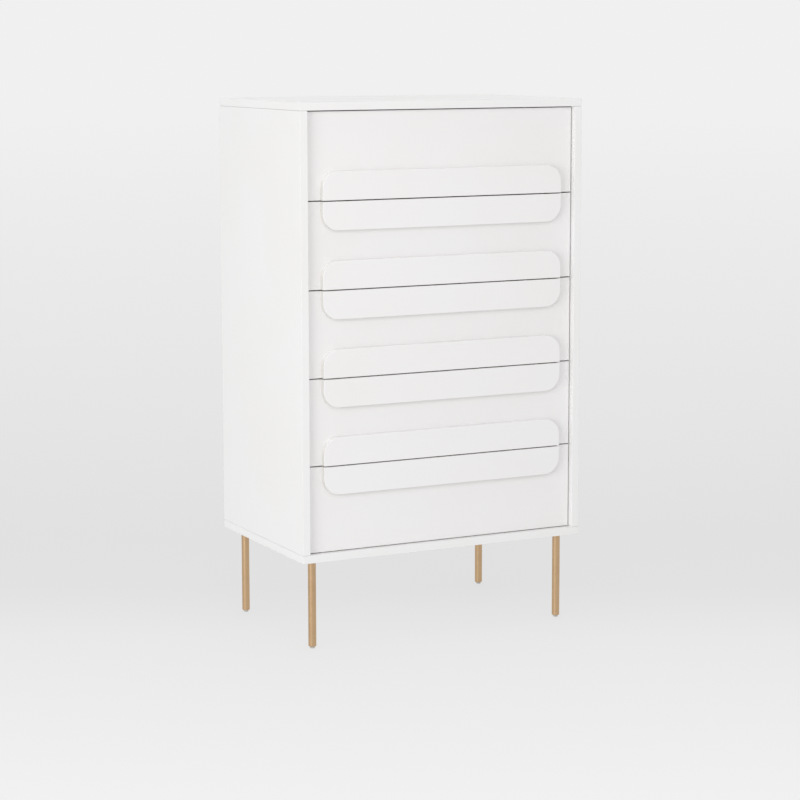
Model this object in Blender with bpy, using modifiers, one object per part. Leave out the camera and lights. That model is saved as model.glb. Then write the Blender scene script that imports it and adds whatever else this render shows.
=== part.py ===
"""Tall chest of five drawers on four slim metal legs.

Metres, +Z up.  The origin is on the floor under the middle of the case, and the front faces -Y.
The case panels, the legs, their glides and the outer slide members stand still.  Each drawer is a front, two
sides, a back, a bottom and two inner slide members, all parented to an empty on the drawer's line of travel.
Each front is one thick board that is milled back around its raised pulls.  Every pull straddles the gap
between two drawers, so that a drawer carries the upper half of one pull and the lower half of the next.
"""

import math

import bmesh
import bpy
from mathutils import Matrix

# The case.
CASE_WIDTH = 0.711
CASE_DEPTH = 0.457
CASE_HEIGHT = 1.020
PANEL_THICKNESS = 0.018
PANEL_EDGE = 0.0008
BACK_THICKNESS = 0.006
BACK_LAP = 0.008

# The legs, and the glides pressed into their ends.
LEG_HEIGHT = 0.204
LEG_INSET = 0.038
LEG_DIAMETER = 0.018
LEG_WALL = 0.0015
LEG_END_THICKNESS = 0.012
LEG_END_RADIUS = 0.0022
PLATE_DIAMETER = 0.044
PLATE_THICKNESS = 0.0025
PLATE_HOLE_DIAMETER = 0.0042
PLATE_HOLE_COUNT = 3
GLIDE_HEIGHT = 0.004
GLIDE_DIAMETER = 0.0112
GLIDE_TAPER = 0.0008
STEM_DIAMETER = 0.005
STEM_LENGTH = 0.009

# The drawer fronts and their pulls.
DRAWER_COUNT = 5
DRAWER_GAP = 0.0024
BOTTOM_GAP = 0.0015
SIDE_GAP = 0.002
FRONT_RECESS = 0.0145
FRONT_THICKNESS = 0.018
FRONT_EDGE = 0.0012
PULL_SETBACK = 0.0005
PULL_MARGIN = 0.0335
PULL_HEIGHT = 0.130
PULL_CORNER = 0.038
PULL_CORNER_STEPS = 8

# The drawer boxes.
BOX_THICKNESS = 0.012
BOX_EDGE = 0.0008
BOX_RISE = 0.020
BOX_DROP = 0.024
BOX_REAR_SPACE = 0.018
BOTTOM_THICKNESS = 0.006
GROOVE_DEPTH = 0.006
GROOVE_RISE = 0.010

# The slides, one on each side of every drawer.
SLIDE_SPACE = 0.0127
SLIDE_HEIGHT = 0.045
SLIDE_STEEL = 0.0012
SLIDE_FLANGE = 0.0085
BALL_SPACE = 0.0018

# Clearances.
FIT_GAP = 0.0003
CUT_OVER = 0.010

# Facets around a full turn.
TURN_STEPS = 24
HOLE_STEPS = 12

# Sizes that follow from the ones above.
CASE_BOTTOM = LEG_HEIGHT
CASE_TOP = LEG_HEIGHT + CASE_HEIGHT
OPENING_WIDTH = CASE_WIDTH - 2 * PANEL_THICKNESS
OPENING_BOTTOM = CASE_BOTTOM + PANEL_THICKNESS
OPENING_HEIGHT = CASE_HEIGHT - 2 * PANEL_THICKNESS
FRONT_WIDTH = OPENING_WIDTH - 2 * SIDE_GAP
FRONT_HEIGHT = (OPENING_HEIGHT - DRAWER_COUNT * DRAWER_GAP - BOTTOM_GAP) / DRAWER_COUNT
FRONT_FACE = -CASE_DEPTH / 2 + FRONT_RECESS
FRONT_BACK = FRONT_FACE + FRONT_THICKNESS
PULL_FACE = -CASE_DEPTH / 2 + PULL_SETBACK
PULL_WIDTH = FRONT_WIDTH - 2 * PULL_MARGIN
BACK_FACE = CASE_DEPTH / 2 - BACK_THICKNESS
BOX_WIDTH = OPENING_WIDTH - 2 * SLIDE_SPACE
BOX_HEIGHT = FRONT_HEIGHT - BOX_RISE - BOX_DROP
BOX_START = FRONT_BACK + FIT_GAP
BOX_DEPTH = BACK_FACE - BOX_REAR_SPACE - BOX_START
BOX_MIDDLE = BOX_START + BOX_DEPTH / 2
GROOVE_HEIGHT = BOTTOM_THICKNESS + 2 * FIT_GAP

# Finishes: colour, roughness, metallic.
LACQUER = ("white_lacquer", (0.86, 0.86, 0.845), 0.32, 0.0)
BACKING = ("backing_board", (0.80, 0.79, 0.77), 0.60, 0.0)
BIRCH = ("birch_board", (0.74, 0.60, 0.42), 0.50, 0.0)
STEEL = ("zinc_steel", (0.62, 0.63, 0.65), 0.35, 1.0)
BRASS = ("satin_brass", (0.56, 0.36, 0.20), 0.38, 1.0)
PLASTIC = ("grey_plastic", (0.42, 0.42, 0.42), 0.45, 0.0)


def clear_scene():
    """Remove every object and make the two collections that the chest needs."""
    for thing in list(bpy.data.objects):
        bpy.data.objects.remove(thing, do_unlink=True)
    collections = []
    for name in ("chest_of_drawers", "cutters"):
        collection = bpy.data.collections.new(name)
        bpy.context.scene.collection.children.link(collection)
        collections.append(collection)
    return collections


PARTS, CUTTERS = clear_scene()


def finish(spec):
    """Return the material that a finish names, making it the first time."""
    name, colour, roughness, metallic = spec
    material = bpy.data.materials.get(name)
    if material is None:
        material = bpy.data.materials.new(name)
        material.use_nodes = True
        shader = material.node_tree.nodes["Principled BSDF"]
        shader.inputs["Base Color"].default_value = (*colour, 1.0)
        shader.inputs["Roughness"].default_value = roughness
        shader.inputs["Metallic"].default_value = metallic
    return material


def add_part(name, mesh, location, spec, parent=None):
    """Place a mesh as a named part with its own finish."""
    part = bpy.data.objects.new(name, mesh)
    mesh.materials.clear()
    mesh.materials.append(finish(spec))
    PARTS.objects.link(part)
    part.parent = parent
    part.location = location
    return part


def add_cutter(name, mesh, location, parent=None):
    """Place a mesh as a cutter, which the finished chest leaves out."""
    cutter = bpy.data.objects.new(name, mesh)
    CUTTERS.objects.link(cutter)
    cutter.parent = parent
    cutter.location = location
    cutter.hide_render = True
    cutter.display_type = "WIRE"
    return cutter


def cut(part, cutter):
    """Cut a part with a closed cutter."""
    modifier = part.modifiers.new("cut_" + cutter.name, "BOOLEAN")
    modifier.operation = "DIFFERENCE"
    modifier.solver = "EXACT"
    modifier.object = cutter


def ease_edges(part, width, segments=1):
    """Break the sharp edges of a part."""
    modifier = part.modifiers.new("eased_edges", "BEVEL")
    modifier.width = width
    modifier.segments = segments
    modifier.limit_method = "ANGLE"
    modifier.angle_limit = math.radians(40)


def block(name, size):
    """Return the mesh of a box with its middle at the origin."""
    mesh = bpy.data.meshes.new(name)
    shape = bmesh.new()
    bmesh.ops.create_cube(shape, size=1.0)
    bmesh.ops.scale(shape, vec=size, verts=shape.verts)
    shape.to_mesh(mesh)
    shape.free()
    return mesh


def board(name, size, location, spec, edge, parent=None):
    """Place a flat board with eased edges."""
    part = add_part(name, block(name, size), location, spec, parent)
    ease_edges(part, edge)
    return part


def slab(name, outlines, thickness):
    """Return the mesh of flat outlines in X and Z, made thick along Y; inner outlines are holes."""
    curve = bpy.data.curves.new(name, "CURVE")
    curve.dimensions = "2D"
    curve.fill_mode = "BOTH"
    curve.extrude = thickness / 2
    for outline in outlines:
        spline = curve.splines.new("POLY")
        spline.points.add(len(outline) - 1)
        for point, (x, z) in zip(spline.points, outline):
            point.co = (x, z, 0.0, 1.0)
        spline.use_cyclic_u = True
    holder = bpy.data.objects.new(name, curve)
    CUTTERS.objects.link(holder)
    solid = holder.evaluated_get(bpy.context.evaluated_depsgraph_get())
    mesh = bpy.data.meshes.new_from_object(solid)
    shape = bmesh.new()
    shape.from_mesh(mesh)
    bmesh.ops.remove_doubles(shape, verts=shape.verts, dist=0.00001)
    bmesh.ops.transform(shape, matrix=Matrix.Rotation(math.pi / 2, 4, "X"), verts=shape.verts)
    bmesh.ops.recalc_face_normals(shape, faces=shape.faces)
    shape.to_mesh(mesh)
    shape.free()
    bpy.data.objects.remove(holder, do_unlink=True)
    return mesh


def turned(name, profile, location, spec):
    """Place a part turned about Z from a closed profile of radius and height."""
    mesh = bpy.data.meshes.new(name)
    edges = [(i, (i + 1) % len(profile)) for i in range(len(profile))]
    mesh.from_pydata([(radius, 0.0, height) for radius, height in profile], edges, [])
    part = add_part(name, mesh, location, spec)
    modifier = part.modifiers.new("turn", "SCREW")
    modifier.steps = TURN_STEPS
    modifier.render_steps = TURN_STEPS
    modifier.use_merge_vertices = True
    modifier.merge_threshold = 0.00001
    modifier.use_smooth_shade = True
    return part


def arc(centre_x, centre_y, radius, start, end, steps):
    """Return points along an arc; the angles are in degrees, and both ends are included."""
    angles = [math.radians(start + (end - start) * i / steps) for i in range(steps + 1)]
    return [(centre_x + radius * math.cos(a), centre_y + radius * math.sin(a)) for a in angles]


def rectangle(width, height, middle_z=0.0):
    """Return the corners of a rectangle that is centred on X = 0."""
    x = width / 2
    low = middle_z - height / 2
    high = middle_z + height / 2
    return [(-x, low), (x, low), (x, high), (-x, high)]


def rounded_rectangle(width, height, radius, steps, middle_z):
    """Return the outline of a rectangle with round corners, centred on X = 0."""
    x = width / 2 - radius
    low = middle_z - height / 2 + radius
    high = middle_z + height / 2 - radius
    outline = arc(x, low, radius, -90, 0, steps)
    outline += arc(x, high, radius, 0, 90, steps)
    outline += arc(-x, high, radius, 90, 180, steps)
    outline += arc(-x, low, radius, 180, 270, steps)
    return outline


def build_case():
    """Build the top, bottom, sides and back; the back sits in a rebate that runs round all four panels."""
    middle = PANEL_THICKNESS / 2
    side_height = CASE_HEIGHT - 2 * PANEL_THICKNESS - 2 * FIT_GAP
    opening_middle = OPENING_BOTTOM + OPENING_HEIGHT / 2
    back_width = OPENING_WIDTH + 2 * BACK_LAP
    back_height = OPENING_HEIGHT + 2 * BACK_LAP
    flat_size = (CASE_WIDTH, CASE_DEPTH, PANEL_THICKNESS)
    side_size = (PANEL_THICKNESS, CASE_DEPTH, side_height)
    side_x = (CASE_WIDTH - PANEL_THICKNESS) / 2

    rebate_size = (back_width, BACK_THICKNESS + CUT_OVER, back_height)
    rebate_y = BACK_FACE - FIT_GAP + rebate_size[1] / 2
    rebate = add_cutter("back_rebate", block("back_rebate", rebate_size), (0.0, rebate_y, opening_middle))

    panels = [
        board("top_panel", flat_size, (0.0, 0.0, CASE_TOP - middle), LACQUER, PANEL_EDGE),
        board("bottom_panel", flat_size, (0.0, 0.0, CASE_BOTTOM + middle), LACQUER, PANEL_EDGE),
        board("left_side_panel", side_size, (-side_x, 0.0, opening_middle), LACQUER, PANEL_EDGE),
        board("right_side_panel", side_size, (side_x, 0.0, opening_middle), LACQUER, PANEL_EDGE),
    ]
    for panel in panels:
        cut(panel, rebate)

    back_size = (back_width - 2 * FIT_GAP, BACK_THICKNESS, back_height - 2 * FIT_GAP)
    back_location = (0.0, BACK_FACE + BACK_THICKNESS / 2, opening_middle)
    add_part("back_panel", block("back_panel", back_size), back_location, BACKING)


def build_leg(name, x, y):
    """Build a tubular leg with its closed end and screw plate, and the glide pressed into the end."""
    outer = LEG_DIAMETER / 2
    bore = outer - LEG_WALL
    hole = STEM_DIAMETER / 2 + FIT_GAP
    top = CASE_BOTTOM - FIT_GAP
    end = GLIDE_HEIGHT + FIT_GAP
    profile = [
        (bore, top),
        (PLATE_DIAMETER / 2, top),
        (PLATE_DIAMETER / 2, top - PLATE_THICKNESS),
        (outer, top - PLATE_THICKNESS),
    ]
    profile += arc(outer - LEG_END_RADIUS, end + LEG_END_RADIUS, LEG_END_RADIUS, 0, -90, 3)
    profile += [
        (hole, end),
        (hole, end + LEG_END_THICKNESS),
        (bore, end + LEG_END_THICKNESS),
    ]
    leg = turned(name + "_leg", profile, (x, y, 0.0), BRASS)

    hole_ring = (PLATE_DIAMETER / 2 + outer) / 2
    for i in range(PLATE_HOLE_COUNT):
        angle = 2 * math.pi * i / PLATE_HOLE_COUNT
        mesh = bpy.data.meshes.new("screw_hole")
        shape = bmesh.new()
        bmesh.ops.create_cone(
            shape,
            cap_ends=True,
            segments=HOLE_STEPS,
            radius1=PLATE_HOLE_DIAMETER / 2,
            radius2=PLATE_HOLE_DIAMETER / 2,
            depth=PLATE_THICKNESS * 3,
        )
        shape.to_mesh(mesh)
        shape.free()
        place = (
            x + hole_ring * math.cos(angle),
            y + hole_ring * math.sin(angle),
            top - PLATE_THICKNESS / 2,
        )
        cut(leg, add_cutter(name + "_screw_hole_" + str(i + 1), mesh, place))

    foot = GLIDE_DIAMETER / 2
    stem = STEM_DIAMETER / 2
    glide_profile = [
        (0.0, GLIDE_HEIGHT + STEM_LENGTH),
        (stem, GLIDE_HEIGHT + STEM_LENGTH),
        (stem, GLIDE_HEIGHT),
        (foot, GLIDE_HEIGHT),
        (foot - GLIDE_TAPER, 0.0),
        (0.0, 0.0),
    ]
    turned(name + "_glide", glide_profile, (x, y, 0.0), PLASTIC)


def build_legs():
    """Stand a leg under each corner of the case."""
    x = CASE_WIDTH / 2 - LEG_INSET
    y = CASE_DEPTH / 2 - LEG_INSET
    for row, side_y in (("front", -y), ("rear", y)):
        for side, side_x in (("left", -x), ("right", x)):
            build_leg(row + "_" + side, side_x, side_y)


def drawer_bottom_edge(number):
    """Return the height of a front's lower edge; drawer 1 is at the top."""
    below = DRAWER_COUNT - number
    return OPENING_BOTTOM + BOTTOM_GAP + below * (FRONT_HEIGHT + DRAWER_GAP)


def pull_relief():
    """Return the cutter that mills every front back around the pulls, with a hole for each pull."""
    outlines = [rectangle(OPENING_WIDTH, OPENING_HEIGHT, OPENING_BOTTOM + OPENING_HEIGHT / 2)]
    for number in range(1, DRAWER_COUNT):
        gap_middle = drawer_bottom_edge(number) - DRAWER_GAP / 2
        outlines.append(
            rounded_rectangle(PULL_WIDTH, PULL_HEIGHT, PULL_CORNER, PULL_CORNER_STEPS, gap_middle)
        )
    thickness = FRONT_RECESS + CUT_OVER
    mesh = slab("pull_relief", outlines, thickness)
    return add_cutter("pull_relief", mesh, (0.0, FRONT_FACE - thickness / 2, 0.0))


def channel(name, height, flange, direction):
    """Return the mesh of a slide member, a steel channel whose flanges point along +X or -X."""
    half = height / 2
    inner = half - SLIDE_STEEL
    outline = [
        (0.0, -half),
        (direction * flange, -half),
        (direction * flange, -inner),
        (direction * SLIDE_STEEL, -inner),
        (direction * SLIDE_STEEL, inner),
        (direction * flange, inner),
        (direction * flange, half),
        (0.0, half),
    ]
    return slab(name, [outline], BOX_DEPTH)


def build_drawer(number, relief):
    """Build one drawer and the outer members of its slides."""
    name = "drawer_" + str(number)
    lower = drawer_bottom_edge(number)
    middle = lower + FRONT_HEIGHT / 2
    box_lower = lower + BOX_RISE
    box_middle = box_lower + BOX_HEIGHT / 2
    groove_middle = box_lower + GROOVE_RISE + BOTTOM_THICKNESS / 2

    slide = bpy.data.objects.new(name + "_travel", None)
    PARTS.objects.link(slide)
    slide.location = (0.0, 0.0, middle)
    rise = box_middle - middle
    groove_rise = groove_middle - middle

    front_depth = FRONT_BACK - PULL_FACE
    front_size = (FRONT_WIDTH, front_depth, FRONT_HEIGHT)
    front_mesh = block(name + "_front", front_size)
    front = add_part(name + "_front", front_mesh, (0.0, PULL_FACE + front_depth / 2, 0.0), LACQUER, slide)
    cut(front, relief)
    ease_edges(front, FRONT_EDGE)

    bottom_width = BOX_WIDTH - 2 * BOX_THICKNESS + 2 * GROOVE_DEPTH - 2 * FIT_GAP
    bottom_start = FRONT_BACK - GROOVE_DEPTH + FIT_GAP
    bottom_depth = BOX_START + BOX_DEPTH - bottom_start
    groove_size = (bottom_width + 2 * FIT_GAP, GROOVE_DEPTH + CUT_OVER, GROOVE_HEIGHT)
    groove_y = FRONT_BACK - GROOVE_DEPTH + groove_size[1] / 2
    groove = add_cutter(name + "_front_groove", block(name + "_front_groove", groove_size),
                        (0.0, groove_y, groove_rise), slide)
    cut(front, groove)

    groove_size = (bottom_width + 2 * FIT_GAP, BOX_DEPTH + 2 * CUT_OVER, GROOVE_HEIGHT)
    groove = add_cutter(name + "_side_groove", block(name + "_side_groove", groove_size),
                        (0.0, BOX_MIDDLE, groove_rise), slide)
    side_size = (BOX_THICKNESS, BOX_DEPTH, BOX_HEIGHT)
    side_x = (BOX_WIDTH - BOX_THICKNESS) / 2
    for side, sign in (("left", -1), ("right", 1)):
        part = board(name + "_" + side + "_side", side_size, (sign * side_x, BOX_MIDDLE, rise),
                     BIRCH, BOX_EDGE, slide)
        cut(part, groove)

    back_foot = GROOVE_RISE + BOTTOM_THICKNESS + 2 * FIT_GAP
    back_size = (BOX_WIDTH - 2 * BOX_THICKNESS - 2 * FIT_GAP, BOX_THICKNESS, BOX_HEIGHT - back_foot)
    back_y = BOX_START + BOX_DEPTH - BOX_THICKNESS / 2
    board(name + "_back", back_size, (0.0, back_y, rise + back_foot / 2), BIRCH, BOX_EDGE, slide)

    bottom_size = (bottom_width, bottom_depth, BOTTOM_THICKNESS)
    bottom_location = (0.0, bottom_start + bottom_depth / 2, groove_rise)
    add_part(name + "_bottom", block(name + "_bottom", bottom_size), bottom_location, BIRCH, slide)

    inner_height = SLIDE_HEIGHT - 2 * (SLIDE_STEEL + BALL_SPACE)
    for side, sign in (("left", -1), ("right", 1)):
        mesh = channel(name + "_" + side + "_inner_slide", inner_height, SLIDE_FLANGE, sign)
        add_part(name + "_" + side + "_inner_slide", mesh,
                 (sign * (BOX_WIDTH / 2 + FIT_GAP), BOX_MIDDLE, rise), STEEL, slide)
        mesh = channel(name + "_" + side + "_outer_slide", SLIDE_HEIGHT, SLIDE_FLANGE, -sign)
        add_part(name + "_" + side + "_outer_slide", mesh,
                 (sign * (OPENING_WIDTH / 2 - FIT_GAP), BOX_MIDDLE, box_middle), STEEL)


build_case()
build_legs()
RELIEF = pull_relief()
for drawer in range(1, DRAWER_COUNT + 1):
    build_drawer(drawer, RELIEF)
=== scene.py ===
"""Looks of a tall chest of five drawers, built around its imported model.

White satin lacquer on the case and the drawer fronts, birch plywood drawer boxes, steel ball slides and
satin brass legs on grey glides.  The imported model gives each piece's place and size; the dataclasses below
hold only the finer sizes that it leaves out, such as edge rounding, screw heads and the bends of the slides.
All lengths are in metres.
"""

import logging
import math
from collections.abc import Iterable
from dataclasses import dataclass
from enum import Enum

import bmesh
import bpy
from mathutils import Matrix, Vector


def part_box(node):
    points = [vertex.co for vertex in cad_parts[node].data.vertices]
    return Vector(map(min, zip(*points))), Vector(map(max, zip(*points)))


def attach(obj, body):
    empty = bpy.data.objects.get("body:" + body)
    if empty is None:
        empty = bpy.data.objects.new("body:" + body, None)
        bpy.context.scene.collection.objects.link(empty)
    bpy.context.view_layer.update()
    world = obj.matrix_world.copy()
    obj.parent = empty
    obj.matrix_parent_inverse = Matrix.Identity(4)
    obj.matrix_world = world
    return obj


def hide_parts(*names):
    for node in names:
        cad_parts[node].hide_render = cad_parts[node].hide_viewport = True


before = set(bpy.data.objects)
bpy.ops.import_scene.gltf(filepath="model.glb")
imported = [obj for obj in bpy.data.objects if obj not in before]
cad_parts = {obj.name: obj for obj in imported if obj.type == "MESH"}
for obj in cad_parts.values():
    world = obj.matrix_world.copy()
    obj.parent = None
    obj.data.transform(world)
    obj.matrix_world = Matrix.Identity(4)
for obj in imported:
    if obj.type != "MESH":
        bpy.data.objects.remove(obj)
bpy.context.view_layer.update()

LOG = logging.getLogger("chest")
DRAWERS = range(1, 6)
MILLIMETRE = 0.001
CUT_OVER = 0.010
SMOOTH_ANGLE = math.radians(30)
FLAT_ANGLE = math.radians(0.2)
WELD_DISTANCE = 0.01 * MILLIMETRE
WALL_LIMIT = 0.5
PLY_LIMIT = 0.7
NOISE_MIDDLE = 0.5
SOFT_RANGE = (0.35, 0.70)
WHITE = (1.0, 1.0, 1.0)

Pair = tuple[float, float]
Point = Pair
Triple = tuple[float, float, float]
Colour = Triple
Seat = tuple[Vector, Vector]


class Side(Enum):
    """The chest's left and right, as the sign of X."""

    LEFT = -1
    RIGHT = 1

    @property
    def word(self) -> str:
        """The word that node names use."""
        return self.name.lower()


class Axis(Enum):
    """One of the three directions, as an index into a vector."""

    X = 0
    Y = 1
    Z = 2

    @property
    def others(self) -> tuple[int, int]:
        """The indices of the two other directions."""
        first, second = (i for i in range(3) if i != self.value)
        return first, second


@dataclass(frozen=True)
class Box:
    """The lowest and the highest corner of a block of space."""

    low: Vector
    high: Vector

    @classmethod
    def of(cls, node: str) -> "Box":
        """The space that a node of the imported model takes."""
        return cls(*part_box(node))

    @property
    def middle(self) -> Vector:
        """The middle of the block."""
        return (self.low + self.high) / 2

    @property
    def size(self) -> Vector:
        """The block's size along X, Y and Z."""
        return self.high - self.low

    def end(self, axis: Axis, way: int) -> float:
        """Where the block ends along one direction: its high end for a way of 1, its low end for -1."""
        return (self.high if way > 0 else self.low)[axis.value]

    def grown(self, gap: float) -> "Box":
        """The block with a gap all round it."""
        return Box(self.low - Vector((gap,) * 3), self.high + Vector((gap,) * 3))


# ---------------------------------------------------------------------------------------------- shader maths


class Value:
    """An output of a node tree; arithmetic on it adds Math nodes."""

    def __init__(self, tree: "Tree", socket: bpy.types.NodeSocket) -> None:
        """Keep the tree and the socket."""
        self.tree = tree
        self.socket = socket

    def _math(self, operation: str, first: "Value | float", second: "Value | float") -> "Value":
        """Add one Math node.

        Args:
            operation: The node's operation.
            first: Its first value.
            second: Its second value.

        Returns:
            The node's result.
        """
        return self.tree.add("ShaderNodeMath", {"operation": operation}, {0: first, 1: second})

    def __add__(self, other: "Value | float") -> "Value":
        """This value plus another."""
        return self._math("ADD", self, other)

    def __radd__(self, other: float) -> "Value":
        """A number plus this value."""
        return self._math("ADD", other, self)

    def __sub__(self, other: "Value | float") -> "Value":
        """This value less another."""
        return self._math("SUBTRACT", self, other)

    def __rsub__(self, other: float) -> "Value":
        """A number less this value."""
        return self._math("SUBTRACT", other, self)

    def __mul__(self, other: "Value | float") -> "Value":
        """This value times another."""
        return self._math("MULTIPLY", self, other)

    def __rmul__(self, other: float) -> "Value":
        """A number times this value."""
        return self._math("MULTIPLY", other, self)

    def __truediv__(self, other: "Value | float") -> "Value":
        """This value over another."""
        return self._math("DIVIDE", self, other)

    def __rtruediv__(self, other: float) -> "Value":
        """A number over this value."""
        return self._math("DIVIDE", other, self)

    def fraction(self) -> "Value":
        """The part after the decimal point."""
        return self._math("FRACT", self, 0.0)

    def above(self, limit: float) -> "Value":
        """One where this value is over a limit, and zero elsewhere."""
        return self._math("GREATER_THAN", self, limit)

    def largest(self, other: "Value | float") -> "Value":
        """The larger of this value and another."""
        return self._math("MAXIMUM", self, other)

    def swing(self, reach: float) -> "Value":
        """Noise that swings about zero, this far in all."""
        return (self - NOISE_MIDDLE) * reach

    def bands(self) -> "Value":
        """A curve that is one at each whole number and falls to zero halfway between."""
        offset = self.fraction() - 0.5
        return offset * offset * 4.0

    def ramp(self, low: float, high: float) -> "Value":
        """Ease this value from zero at one level to one at another.

        Args:
            low: The level that gives zero.
            high: The level that gives one.

        Returns:
            The eased value.
        """
        settings = {"interpolation_type": "SMOOTHSTEP"}
        sockets = {"Value": self, "From Min": low, "From Max": high}
        return self.tree.add("ShaderNodeMapRange", settings, sockets)


def weighted(parts: Iterable[Value], shares: Iterable[float]) -> Value:
    """Add values up by their shares.

    Args:
        parts: The values.
        shares: How much each one counts.

    Returns:
        The sum.
    """
    return sum(part * share for part, share in zip(parts, shares))


class Tree:
    """A node tree that is emptied and filled again."""

    def __init__(self, nodes: bpy.types.NodeTree) -> None:
        """Empty a node tree.

        Args:
            nodes: The tree of a material or a world.
        """
        self.nodes = nodes
        self.nodes.nodes.clear()

    def add(
        self,
        kind: str,
        settings: dict[str, object] | None = None,
        sockets: dict[str | int, object] | None = None,
        output: str | int = 0,
    ) -> Value:
        """Add one node.

        Args:
            kind: The node's type.
            settings: Its properties; "stops" are a colour ramp's places and colours.
            sockets: The value or the link of each input, by name or number.
            output: The output that is wanted.

        Returns:
            That output.
        """
        node = self.nodes.nodes.new(kind)
        for name, setting in (settings or {}).items():
            if name == "stops":
                self._set_stops(node.color_ramp, setting)
            else:
                setattr(node, name, setting)
        for name, value in (sockets or {}).items():
            socket = node.inputs[name]
            if isinstance(value, Value):
                self.nodes.links.new(value.socket, socket)
            elif isinstance(value, tuple) and len(socket.default_value) > len(value):
                socket.default_value = (*value, 1.0)
            else:
                socket.default_value = value
        return Value(self, node.outputs[output]) if len(node.outputs) else Value(self, None)

    @staticmethod
    def _set_stops(ramp: bpy.types.ColorRamp, stops: Iterable[tuple[float, Colour]]) -> None:
        """Fill a colour ramp.

        Args:
            ramp: The ramp.
            stops: The place and the colour of each stop, in rising order.
        """
        stops = list(stops)
        while len(ramp.elements) < len(stops):
            ramp.elements.new(1.0)
        for element, (place, colour) in zip(ramp.elements, stops):
            element.position = place
            element.color = (*colour, 1.0)

    def place(self) -> Value:
        """The point being shaded, which moves with its piece."""
        return self.add("ShaderNodeTexCoord", output="Object")

    def attribute(self, name: str) -> Value:
        """A number that the mesh carries."""
        return self.add("ShaderNodeAttribute", {"attribute_name": name}, output="Fac")

    def stretched(self, place: Value, scale: Triple) -> Value:
        """Scale a place along each direction.

        Args:
            place: The place.
            scale: The factor along X, Y and Z.

        Returns:
            The scaled place.
        """
        return self.add("ShaderNodeVectorMath", {"operation": "MULTIPLY"}, {0: place, 1: scale})

    def mix(self, share: Value | float, first: Value | Colour, second: Value | Colour) -> Value:
        """Mix two colours.

        Args:
            share: How much of the second one is used.
            first: The first colour.
            second: The second colour.

        Returns:
            The mixed colour.
        """
        return self.add("ShaderNodeMix", {"data_type": "RGBA"}, {0: share, 6: first, 7: second}, 2)


Layers = tuple[Value, Value, Value]


# -------------------------------------------------------------------------------------------------- finishes


@dataclass(frozen=True)
class Noise:
    """Soft noise: its features in a metre, its finer layers, and how far it is folded.

    Where low and high differ, it is eased from zero to one between those two levels.
    """

    scale: float
    detail: float = 2.0
    warp: float = 0.0
    low: float = 0.0
    high: float = 0.0

    def on(self, tree: Tree, place: Value) -> Value:
        """Add the noise to a tree.

        Args:
            tree: The tree.
            place: Where the noise is read.

        Returns:
            The noise, near 0.5 on average where it isn't eased.
        """
        sockets = {"Vector": place, "Scale": self.scale, "Detail": self.detail, "Distortion": self.warp}
        noise = tree.add("ShaderNodeTexNoise", {}, sockets, "Fac")
        return noise.ramp(self.low, self.high) if self.high > self.low else noise


@dataclass(frozen=True)
class Finish:
    """What every finish has: a name, a slot name, a colour, a gloss, a fine relief and a clear coat."""

    name: str
    slot: str
    colour: Colour
    roughness: float
    relief: float = 0.25
    relief_depth: float = 0.10 * MILLIMETRE
    ior: float = 1.48
    metallic: float = 0.0
    coat: float = 0.0
    coat_roughness: float = 0.30

    def material(self) -> bpy.types.Material:
        """Give the finish's material, which is made the first time that it is asked for.

        Returns:
            The material.
        """
        found = bpy.data.materials.get(self.name)
        if found is None:
            found = bpy.data.materials.new(self.name)
            found.use_nodes = True
            tree = Tree(found.node_tree)
            colour, roughness, height = self.paint(tree)
            grain = {"Height": height, "Strength": self.relief, "Distance": self.relief_depth}
            shader = tree.add("ShaderNodeBsdfPrincipled", {}, {
                "Base Color": colour,
                "Roughness": roughness,
                "Normal": tree.add("ShaderNodeBump", {}, grain),
                "Metallic": self.metallic,
                "IOR": self.ior,
                "Coat Weight": self.coat,
                "Coat Roughness": self.coat_roughness,
            })
            tree.add("ShaderNodeOutputMaterial", {}, {"Surface": shader})
        return found

    def paint(self, tree: Tree) -> Layers:
        """Give the colour, the roughness and the relief's height all over the surface.

        Args:
            tree: The material's tree.

        Returns:
            The three, in that order.
        """
        raise NotImplementedError


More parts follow.
